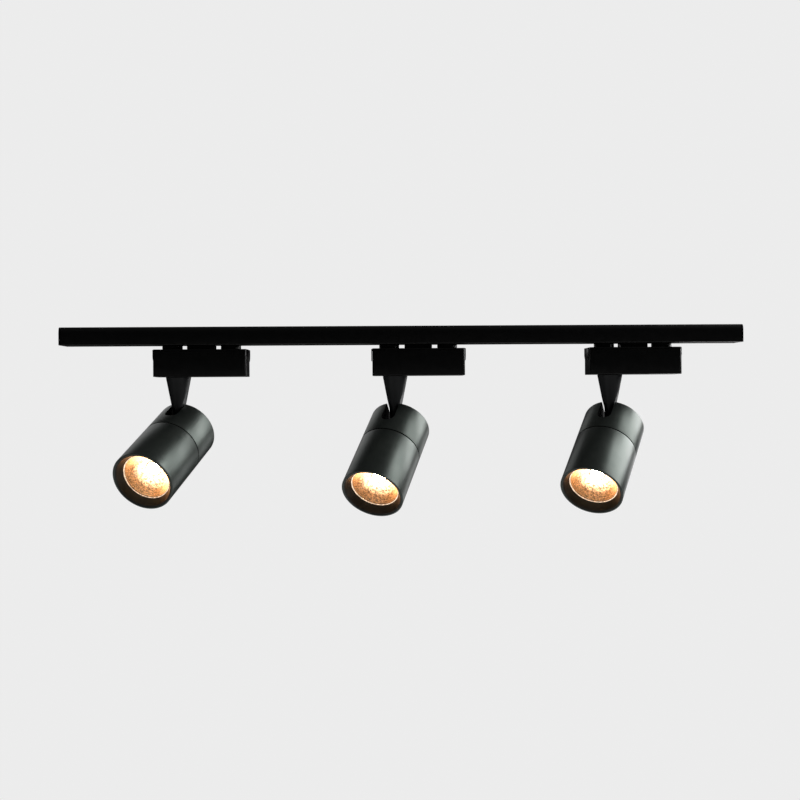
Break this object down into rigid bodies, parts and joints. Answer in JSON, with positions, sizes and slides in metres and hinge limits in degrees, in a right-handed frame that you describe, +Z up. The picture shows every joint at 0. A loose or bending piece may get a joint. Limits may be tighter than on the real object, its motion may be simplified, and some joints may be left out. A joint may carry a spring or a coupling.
{
  "type": "track lighting fixture",
  "caption": "Ceiling track light: a slotted two-wire track carrying spot lamps that slide, pan and tilt, each with a driver box, conical stem and cylindrical head.",
  "frame": {"origin": "centre of the track's flat top face, which lies on the ceiling", "axes": "+X along the track, +Z up into the ceiling, -Y the side that the lamps face"},
  "size_m": [0.8, 0.1398, 0.2192],
  "materials": {
    "black_paint": "extruded, satin black powder coat",
    "black_plastic": "moulded black plastic",
    "insulator_plastic": "moulded grey plastic",
    "copper": "bare copper strip",
    "rubber": "matte",
    "head_paint": "turned, satin charcoal paint with a slight metallic sheen",
    "stem_paint": "turned, semi-gloss black paint",
    "zinc_steel": "zinc plated",
    "raw_aluminium": "machined",
    "circuit_board": "solder mask",
    "emitter": "lit warm white phosphor",
    "reflector_chrome": "faceted bowl, polished mirror bright",
    "baffle_black": "satin black paint"
  },
  "bodies": {
    "track": {"track_profile": "black_paint", "insulator_front": "insulator_plastic", "insulator_back": "insulator_plastic", "conductor_live": "copper", "conductor_neutral": "copper", "end_cap_feed": "black_plastic", "end_cap_dead": "black_plastic", "terminal_block": "insulator_plastic", "inlet_grommet": "rubber"},
    "adapter_left": {"adapter_housing_left": "black_plastic", "adapter_cover_left": "black_plastic", "driver_board_left": "circuit_board"},
    "contact_left": {"contact_rotor_left": "black_plastic", "contact_blade_live_left": "copper", "contact_blade_neutral_left": "copper"},
    "lock_left": {"lock_rotor_left": "black_plastic"},
    "swivel_left": {"stem_left": "stem_paint", "stem_nut_left": "zinc_steel", "friction_washer_left": "zinc_steel"},
    "head_left": {"rear_housing_left": "head_paint", "tilt_pin_left": "zinc_steel", "front_barrel_left": "head_paint", "heat_sink_left": "raw_aluminium", "cob_module_left": "emitter", "reflector_left": "reflector_chrome", "baffle_ring_left": "baffle_black"},
    "adapter_middle": {"adapter_housing_middle": "black_plastic", "adapter_cover_middle": "black_plastic", "driver_board_middle": "circuit_board"},
    "contact_middle": {"contact_rotor_middle": "black_plastic", "contact_blade_live_middle": "copper", "contact_blade_neutral_middle": "copper"},
    "lock_middle": {"lock_rotor_middle": "black_plastic"},
    "swivel_middle": {"stem_middle": "stem_paint", "stem_nut_middle": "zinc_steel", "friction_washer_middle": "zinc_steel"},
    "head_middle": {"rear_housing_middle": "head_paint", "tilt_pin_middle": "zinc_steel", "front_barrel_middle": "head_paint", "heat_sink_middle": "raw_aluminium", "cob_module_middle": "emitter", "reflector_middle": "reflector_chrome", "baffle_ring_middle": "baffle_black"},
    "adapter_right": {"adapter_housing_right": "black_plastic", "adapter_cover_right": "black_plastic", "driver_board_right": "circuit_board"},
    "contact_right": {"contact_rotor_right": "black_plastic", "contact_blade_live_right": "copper", "contact_blade_neutral_right": "copper"},
    "lock_right": {"lock_rotor_right": "black_plastic"},
    "swivel_right": {"stem_right": "stem_paint", "stem_nut_right": "zinc_steel", "friction_washer_right": "zinc_steel"},
    "head_right": {"rear_housing_right": "head_paint", "tilt_pin_right": "zinc_steel", "front_barrel_right": "head_paint", "heat_sink_right": "raw_aluminium", "cob_module_right": "emitter", "reflector_right": "reflector_chrome", "baffle_ring_right": "baffle_black"}
  },
  "joints": [
    {"name": "slide_left", "type": "slide", "parent": "track", "child": "adapter_left", "axis": [1, 0, 0], "range_m": [-0.08, 0.025]},
    {"name": "contact_turn_left", "type": "hinge", "parent": "adapter_left", "child": "contact_left", "pos_m": [-0.203, 0, -0.0205], "axis": [0, 0, 1], "range_deg": [0, 90]},
    {"name": "lock_turn_left", "type": "hinge", "parent": "adapter_left", "child": "lock_left", "pos_m": [-0.2716, 0, -0.0205], "axis": [0, 0, 1], "range_deg": [0, 90]},
    {"name": "pan_left", "type": "hinge", "parent": "adapter_left", "child": "swivel_left", "pos_m": [-0.2648, 0, -0.0582], "axis": [0, 0, 1], "range_deg": [-157.3, 192.7]},
    {"name": "tilt_left", "type": "hinge", "parent": "swivel_left", "child": "head_left", "pos_m": [-0.2648, 0, -0.1307], "axis": [0.9527, -0.304, 0], "range_deg": [-27.8, 62.2]},
    {"name": "slide_middle", "type": "slide", "parent": "track", "child": "adapter_middle", "axis": [1, 0, 0], "range_m": [-0.025, 0.025]},
    {"name": "contact_turn_middle", "type": "hinge", "parent": "adapter_middle", "child": "contact_middle", "pos_m": [0.0522, 0, -0.0205], "axis": [0, 0, 1], "range_deg": [0, 90]},
    {"name": "lock_turn_middle", "type": "hinge", "parent": "adapter_middle", "child": "lock_middle", "pos_m": [-0.0164, 0, -0.0205], "axis": [0, 0, 1], "range_deg": [0, 90]},
    {"name": "pan_middle", "type": "hinge", "parent": "adapter_middle", "child": "swivel_middle", "pos_m": [-0.0096, 0, -0.0582], "axis": [0, 0, 1], "range_deg": [-152.5, 197.5]},
    {"name": "tilt_middle", "type": "hinge", "parent": "swivel_middle", "child": "head_middle", "pos_m": [-0.0096, 0, -0.1307], "axis": [0.9239, -0.3827, 0], "range_deg": [-40.2, 49.8]},
    {"name": "slide_right", "type": "slide", "parent": "track", "child": "adapter_right", "axis": [1, 0, 0], "range_m": [-0.025, 0.06]},
    {"name": "contact_turn_right", "type": "hinge", "parent": "adapter_right", "child": "contact_right", "pos_m": [0.3074, 0, -0.0205], "axis": [0, 0, 1], "range_deg": [0, 90]},
    {"name": "lock_turn_right", "type": "hinge", "parent": "adapter_right", "child": "lock_right", "pos_m": [0.2388, 0, -0.0205], "axis": [0, 0, 1], "range_deg": [0, 90]},
    {"name": "pan_right", "type": "hinge", "parent": "adapter_right", "child": "swivel_right", "pos_m": [0.2456, 0, -0.0582], "axis": [0, 0, 1], "range_deg": [-145.8, 204.2]},
    {"name": "tilt_right", "type": "hinge", "parent": "swivel_right", "child": "head_right", "pos_m": [0.2456, 0, -0.1307], "axis": [0.8729, -0.4879, 0], "range_deg": [-39.2, 50.8]}
  ]
}
